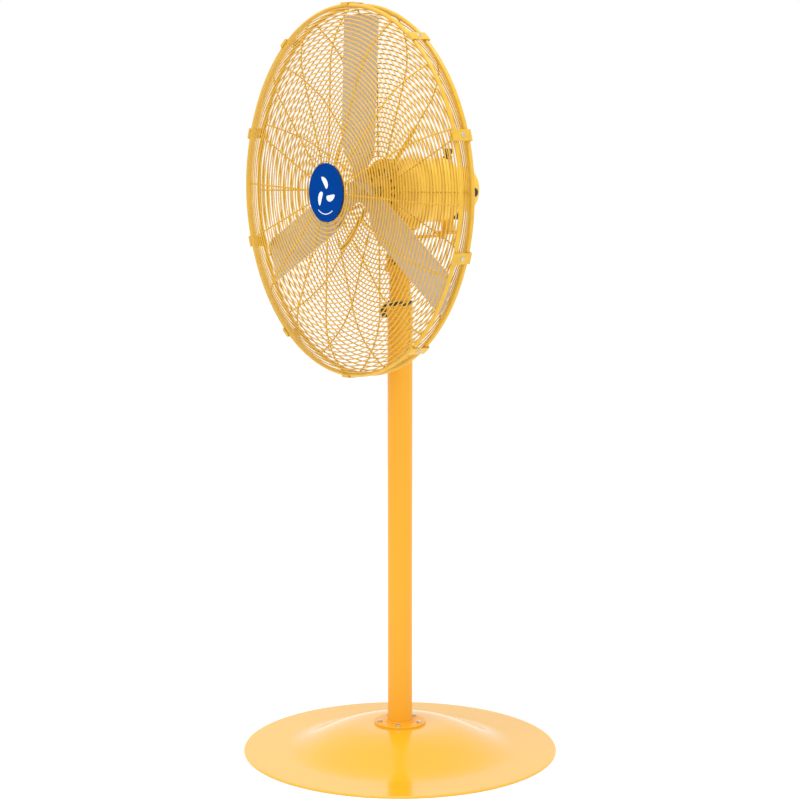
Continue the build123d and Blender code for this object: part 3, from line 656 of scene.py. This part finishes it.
def rivet_head(along, across, lift, outward, angle, sides=16):
    """A low dome standing on the sheet."""
    u, v = np.linspace(0, np.pi / 2, 6)[:, None], circle(sides)
    dome = on_blade(along + RIVET_R * np.sin(u) * np.cos(v),
                    across + RIVET_R * np.sin(u) * np.sin(v),
                    lift + outward * RIVET_RISE * RIVET_R * np.cos(u), angle)
    base = on_blade(np.full((1, sides), along), across, lift, angle)
    return shell(np.concatenate([dome, base]))


def make_blades():
    """Three bent sheets on the spider's arms, each with three rivets through it."""
    tip_half = 4 * MM
    ease = 0.5 - 0.5 * np.cos(np.linspace(0, np.pi, 48))
    along = BLADE_ROOT + (BLADE_TIP - BLADE_ROOT) * ease
    half = np.maximum(blade_half(along), tip_half)
    heads = []
    for number, angle in enumerate(np.radians(BLADE_PHASE + 120.0 * np.arange(3)), 1):
        piece(f"blade_{number}_sheet", [sheet_shell(along, half, angle)], ALUMINIUM, "rotor",
              (f"blade_{number}",))
        for place, off in RIVET_PLACES:
            across = BEND_R * math.asin(off * MM / BEND_R)
            for lift, outward in ((-SHEET_T / 2, -1), (SHEET_T / 2 + ARM_T, 1)):
                heads.append(rivet_head(place * MM, across, lift, outward, angle))
    piece("rivet_heads", heads, ALUMINIUM, "rotor", ("blade_rivets",),
          crease=50.0)


# --- badge ----------------------------------------------------------------------------------------
INK_OUT, INK_IN = 0.25 * MM, 0.1 * MM


def ink_patch(length, width, sweep, s):
    """Flat patch at polar (length, sweep), moved sideways by width; a thin layer, both faces."""
    across, up = turned(length, width, sweep)
    faces = [on_axis(across, s + INK_OUT, up), on_axis(across, s - INK_IN, up)[:, ::-1]]
    return shell(capped(np.concatenate(faces, 1)))


def make_badge():
    """Round plate with a raised edge, and its mark: three petals that sweep round, over an arc."""
    low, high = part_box("badge")
    badge_r, face = high.x, -low.y
    plate_t, edge, slope, sunk = 4 * MM, 5 * MM, 0.6 * MM, 0.5 * MM
    field_s, field_r = face - sunk, badge_r - (edge + slope)
    plate = eased([(0.0, face - plate_t, 0), (badge_r, face - plate_t, 0),
                   (badge_r, face, 1.6 * MM), (badge_r - edge, face, 0.6 * MM),
                   (field_r, field_s, 0.4 * MM), (0.0, field_s, 0)])
    piece("badge_plate", [profile_shell(plate, "s")], FINISH_OF_SLOT["badge_blue"], "head",
          ("badge",))

    petal_start, petal_length, petal_half, petal_sweep = 9 * MM, 27 * MM, 8.5 * MM, 0.75
    t, v = np.linspace(0.0, 1.0, 24)[:, None], np.linspace(-1.0, 1.0, 7)
    shells = [ink_patch(petal_start + petal_length * t,
                        petal_half * np.sin(np.pi * t) ** 0.6 * v,
                        angle + petal_sweep * (t - 0.5), field_s)
              for angle in np.radians([90.0, 210.0, 330.0])]
    arc_r, arc_half, arc_start, arc_sweep = 46 * MM, 0.9 * MM, math.radians(235), math.radians(70)
    t, v = np.linspace(0.0, 1.0, 40)[:, None], np.linspace(-1.0, 1.0, 3)
    shells.append(ink_patch(arc_r + arc_half * v, 0.0, arc_start + arc_sweep * t, field_s))
    piece("badge_mark", shells, badge_ink(), "head", ())


# --- put everything together ----------------------------------------------------------------------
FLOOR_HALF = 40
floor_mesh = bpy.data.meshes.new("floor")
floor_mesh.from_pydata([(x * FLOOR_HALF, y * FLOOR_HALF, 0)
                        for x, y in ((-1, -1), (1, -1), (1, 1), (-1, 1))], [], [(0, 1, 2, 3)])
floor_mesh.materials.append(floor_paint())
floor = bpy.data.objects.new("floor", floor_mesh)
bpy.context.scene.collection.objects.link(floor)

for node_name, node_object in frame["nodes"].items():
    node_object.data.materials.clear()
    node_object.data.materials.append(FINISH_OF_SLOT[SLOT_OF[node_name]])

make_guard("front_guard", **FRONT_SHAPE)
make_guard("rear_guard", **REAR_SHAPE)
make_foot()
make_column()
make_blades()
make_badge()
REFINED = (  # edge width, finish (None for the slot's own), nodes
    (0.0, None, ("column_bush", "blade_spider", "rotor_shaft")),
    (0.0, MOTOR_YELLOW_PAINTED_LIGHT, ("motor_shell", "rear_end_bell", "front_end_bell", "gearbox_cover")),
    (0.5 * MM, MOTOR_YELLOW_PAINTED_LIGHT, ("motor_saddle", "gearbox_housing")),
    (0.4 * MM, WIRE, ("guard_struts", "rim_clips")),
    (0.5 * MM, None, ("height_knob", "height_knob_stud", "mast_head", "tilt_bolt", "tilt_knob",
                      "neck_casting", "link_rod", "link_bolt", "cable_gland", "strut_bolts",
                      "rim_clip_screws", "clutch_knob", "speed_knob", "crank_disc", "foot_bolts",
                      "gearbox_screws", "saddle_screws", "badge_keeper")))
for edge_width, node_finish, node_names in REFINED:
    for node_name in node_names:
        refined(node_name, edge_width, node_finish)
